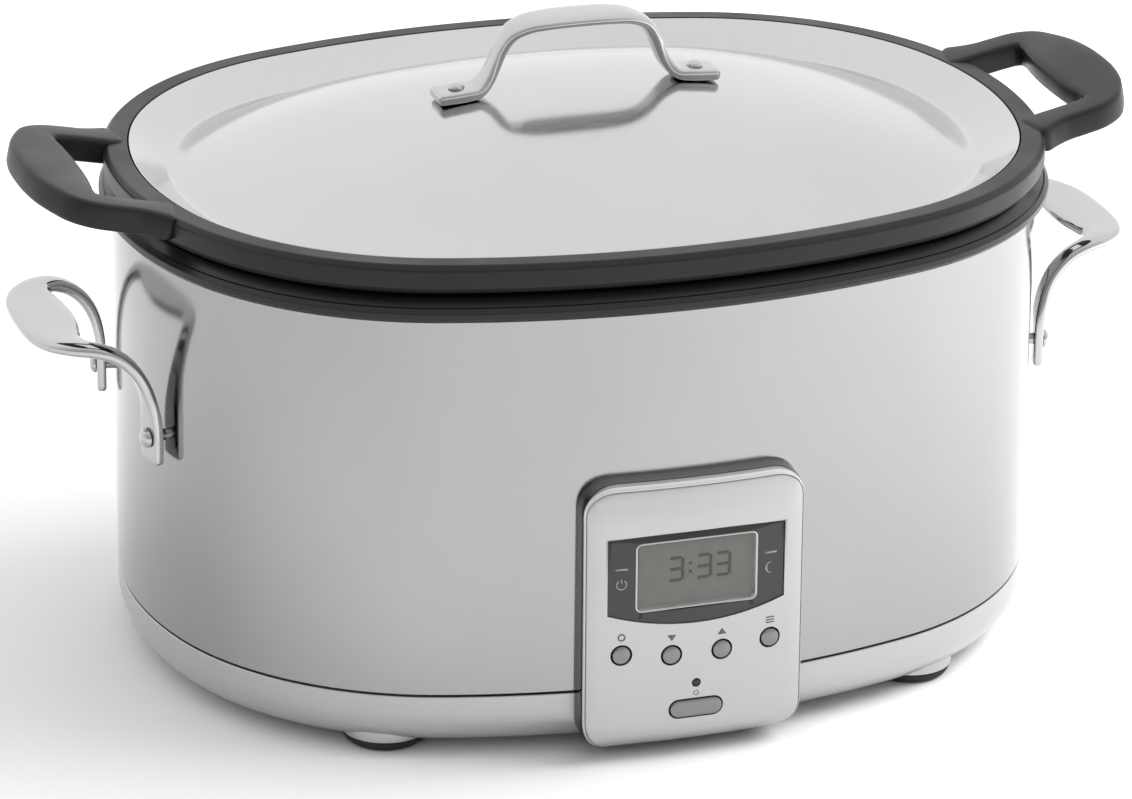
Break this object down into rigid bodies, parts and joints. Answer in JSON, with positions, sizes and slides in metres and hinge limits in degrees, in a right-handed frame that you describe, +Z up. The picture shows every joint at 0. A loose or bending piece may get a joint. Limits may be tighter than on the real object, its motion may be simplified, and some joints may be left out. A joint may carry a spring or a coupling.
{
  "type": "slow cooker",
  "caption": "Oval electric slow cooker with a steel-wrapped heated housing, a lift-out cast pot, a pressed steel lid and a front control panel.",
  "frame": {"origin": "on the table under the middle of the housing, at the height of the feet's undersides", "axes": "+Z up; -Y out of the control panel; +X to the viewer's right, along the oval's long axis"},
  "size_m": [0.472, 0.3204, 0.2618],
  "materials": {
    "lid_steel": "satin",
    "polished_steel": "polished",
    "pot_coating": "satin black non-stick coating on cast aluminium",
    "collar_plastic": "satin",
    "brushed_wrapper": "finely brushed",
    "silver_skirt": "silver satin paint on moulded plastic",
    "plated_steel": "mill finish",
    "foot_rubber": "matte",
    "panel_chrome": "polished, dark",
    "panel_silver": "silver satin paint on moulded plastic",
    "smoked_pane": "smoked gloss",
    "display_chrome": "polished",
    "lcd_glass": "grey-green reflective",
    "digit_ink": "matte",
    "white_plastic": "matte",
    "button_silver": "silver gloss",
    "lamp_red": "unlit lens",
    "board_green": "solder mask",
    "black_plastic": "matte",
    "liner_aluminium": "mill finish",
    "heater_mica": "mica and foil",
    "glass_wool": "glass-fibre blanket",
    "relay_blue": "gloss"
  },
  "bodies": {
    "housing": {"collar": "collar_plastic", "outer_wrapper": "brushed_wrapper", "base_skirt": "silver_skirt", "base_plate": "plated_steel", "base_plate_screws": "plated_steel", "foot_front_left": "foot_rubber", "foot_front_right": "foot_rubber", "foot_rear_left": "foot_rubber", "foot_rear_right": "foot_rubber", "foot_screws": "plated_steel", "side_handle_left": "polished_steel", "side_handle_right": "polished_steel", "side_handle_rivets": "polished_steel", "panel_surround": "panel_chrome", "panel_fascia": "panel_silver", "display_window": "smoked_pane", "display_frame": "display_chrome", "display_glass": "lcd_glass", "display_digits": "digit_ink", "display_backlight": "white_plastic", "indicator_light": "lamp_red", "control_board": "board_green", "tact_switches": "black_plastic", "board_standoffs": "white_plastic", "liner": "liner_aluminium", "heater_band": "heater_mica", "heater_straps": "plated_steel", "insulation": "glass_wool", "heat_shield": "plated_steel", "temperature_sensor": "liner_aluminium", "thermal_fuse": "white_plastic", "power_board": "board_green", "power_board_standoffs": "white_plastic", "relay": "relay_blue", "transformer": "black_plastic", "cord_gland": "black_plastic"},
    "pot": {"insert_pot": "pot_coating"},
    "lid": {"lid_shell": "lid_steel", "lid_handle": "polished_steel", "lid_rivets": "polished_steel"},
    "set_button": {"set_button": "button_silver"},
    "down_button": {"down_button": "button_silver"},
    "up_button": {"up_button": "button_silver"},
    "mode_button": {"mode_button": "button_silver"},
    "power_button": {"power_button": "button_silver"}
  },
  "joints": [
    {"name": "pot_lift", "type": "slide", "parent": "housing", "child": "pot", "axis": [0, 0, 1], "range_m": [0, 0.2]},
    {"name": "lid_lift", "type": "slide", "parent": "pot", "child": "lid", "axis": [0, 0, 1], "range_m": [0, 0.15]},
    {"name": "set_button_press", "type": "slide", "parent": "housing", "child": "set_button", "axis": [0, 1, 0], "range_m": [0, 0.001], "stiffness_N_per_m": 600, "springref_m": -0.0005},
    {"name": "down_button_press", "type": "slide", "parent": "housing", "child": "down_button", "axis": [0, 1, 0], "range_m": [0, 0.001], "stiffness_N_per_m": 600, "springref_m": -0.0005},
    {"name": "up_button_press", "type": "slide", "parent": "housing", "child": "up_button", "axis": [0, 1, 0], "range_m": [0, 0.001], "stiffness_N_per_m": 600, "springref_m": -0.0005},
    {"name": "mode_button_press", "type": "slide", "parent": "housing", "child": "mode_button", "axis": [0, 1, 0], "range_m": [0, 0.001], "stiffness_N_per_m": 600, "springref_m": -0.0005},
    {"name": "power_button_press", "type": "slide", "parent": "housing", "child": "power_button", "axis": [0, 1, 0], "range_m": [0, 0.001], "stiffness_N_per_m": 600, "springref_m": -0.0005}
  ]
}
